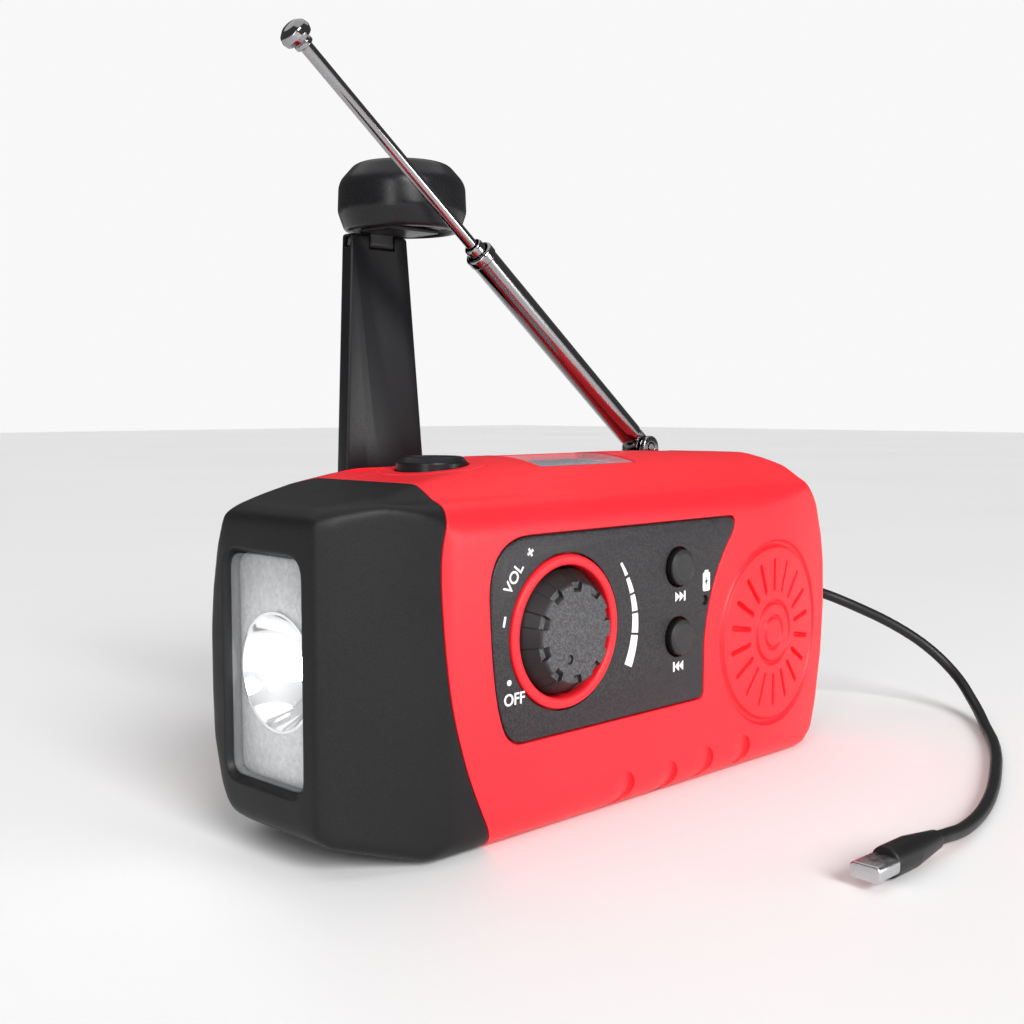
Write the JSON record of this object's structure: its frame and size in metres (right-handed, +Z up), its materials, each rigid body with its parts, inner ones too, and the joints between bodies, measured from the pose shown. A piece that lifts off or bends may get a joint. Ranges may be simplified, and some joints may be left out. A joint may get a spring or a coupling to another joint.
{
  "type": "emergency radio",
  "caption": "Hand-crank emergency radio with flashlight head, volume dial, speaker, solar cell, telescopic antenna and charging lead.",
  "frame": {"origin": "centre of the flat underside of the casing", "axes": "+Z up, -Y out of the front controls, -X out of the flashlight"},
  "size_m": [0.1663, 0.1123, 0.1267],
  "materials": {
    "red_shell": "satin moulded plastic",
    "black_rubber": "fine leather-like grain",
    "black_plastic": "satin",
    "panel": "fine spark-eroded grain with white control markings",
    "knob_rubber": "satin",
    "clear": "clear polished",
    "chrome": "polished",
    "steel": "plain",
    "brass": "sintered bush",
    "white_plastic": "natural",
    "board": "solder mask",
    "battery_film": "shrink film",
    "solar": "dark cell",
    "led": "lit",
    "cord": "smooth"
  },
  "bodies": {
    "case": {"front_shell": "red_shell", "rear_shell": "red_shell", "lamp_housing": "black_rubber", "lamp_lens": "clear", "lamp_reflector": "chrome", "lamp_led": "led", "lamp_board": "board", "front_panel": "panel", "volume_potentiometer": "steel", "next_switch": "steel", "previous_switch": "steel", "charge_indicator": "led", "speaker_driver": "steel", "main_board": "board", "battery_pack": "battery_film", "generator": "steel", "gear_plate": "steel", "idler_pin": "steel", "crank_bush": "brass", "lamp_switch": "steel", "solar_window": "clear", "solar_cell": "solar", "charge_socket": "steel", "usb_plug": "black_plastic", "charge_cord": "cord", "device_connector": "black_plastic", "case_screw_1": "steel", "case_screw_2": "steel", "case_screw_3": "steel", "case_screw_4": "steel"},
    "volume_knob": {"volume_dial": "knob_rubber"},
    "next_cap": {"next_button": "black_plastic"},
    "previous_cap": {"previous_button": "black_plastic"},
    "lamp_cap": {"lamp_button": "black_plastic"},
    "crank": {"crank_shaft": "steel", "drive_gear": "white_plastic", "crank_hub": "black_plastic", "crank_arm": "black_plastic", "crank_screw": "steel", "knob_hinge_pin": "steel"},
    "idler": {"idler_gear": "white_plastic"},
    "rotor": {"generator_pinion": "white_plastic"},
    "knob_carrier": {"knob_bracket": "black_plastic", "knob_screw": "steel"},
    "knob": {"crank_knob": "knob_rubber"},
    "antenna_turret": {"antenna_base": "chrome", "antenna_pin": "chrome"},
    "antenna_mast": {"antenna_outer_tube": "chrome"},
    "antenna_middle": {"antenna_middle_tube": "chrome"},
    "antenna_end": {"antenna_rod": "chrome", "antenna_tip": "chrome"}
  },
  "joints": [
    {"name": "volume_turn", "type": "hinge", "parent": "case", "child": "volume_knob", "pos_m": [-0.0207, -0.02, 0.0317], "axis": [0, 1, 0], "range_deg": [0, 270]},
    {"name": "next_press", "type": "slide", "parent": "case", "child": "next_cap", "axis": [0, 1, 0], "range_m": [0, 0.0008], "stiffness_N_per_m": 600, "springref_m": -0.0004},
    {"name": "previous_press", "type": "slide", "parent": "case", "child": "previous_cap", "axis": [0, 1, 0], "range_m": [0, 0.0008], "stiffness_N_per_m": 600, "springref_m": -0.0004},
    {"name": "lamp_press", "type": "slide", "parent": "case", "child": "lamp_cap", "axis": [0, 0, -1], "range_m": [0, 0.0008], "stiffness_N_per_m": 600, "springref_m": -0.0004},
    {"name": "crank_turn", "type": "hinge", "parent": "case", "child": "crank", "pos_m": [-0.0106, 0.02, 0.025], "axis": [0, -1, 0], "continuous": true},
    {"name": "idler_turn", "type": "hinge", "parent": "case", "child": "idler", "pos_m": [0.0066, 0.012, 0.03126], "axis": [0, -1, 0], "continuous": true},
    {"name": "rotor_turn", "type": "hinge", "parent": "case", "child": "rotor", "pos_m": [0.02318, 0.011, 0.02353], "axis": [0, -1, 0], "continuous": true},
    {"name": "knob_fold", "type": "hinge", "parent": "crank", "child": "knob_carrier", "pos_m": [-0.0106, 0.035, 0.0967], "axis": [-1, 0, 0], "range_deg": [0, 90]},
    {"name": "knob_spin", "type": "hinge", "parent": "knob_carrier", "child": "knob", "pos_m": [-0.01, 0.029, 0.104], "axis": [0, 0, 1], "continuous": true},
    {"name": "antenna_swivel", "type": "hinge", "parent": "case", "child": "antenna_turret", "pos_m": [0.039, 0.0125, 0.0583], "axis": [0, 0, 1], "range_deg": [0, 270]},
    {"name": "antenna_tilt", "type": "hinge", "parent": "antenna_turret", "child": "antenna_mast", "pos_m": [0.039, 0.0125, 0.0583], "axis": [0, 1, 0], "range_deg": [-38, 52]},
    {"name": "antenna_extend_middle", "type": "slide", "parent": "antenna_mast", "child": "antenna_middle", "axis": [-0.788, 0, 0.6157], "range_m": [0, 0.044]},
    {"name": "antenna_extend_rod", "type": "slide", "parent": "antenna_middle", "child": "antenna_end", "axis": [-0.788, 0, 0.6157], "range_m": [-0.044, 0]}
  ],
  "couplings": [
    {"joint": "idler_turn", "follows": "crank_turn", "ratio": -3},
    {"joint": "rotor_turn", "follows": "crank_turn", "ratio": 9}
  ]
}
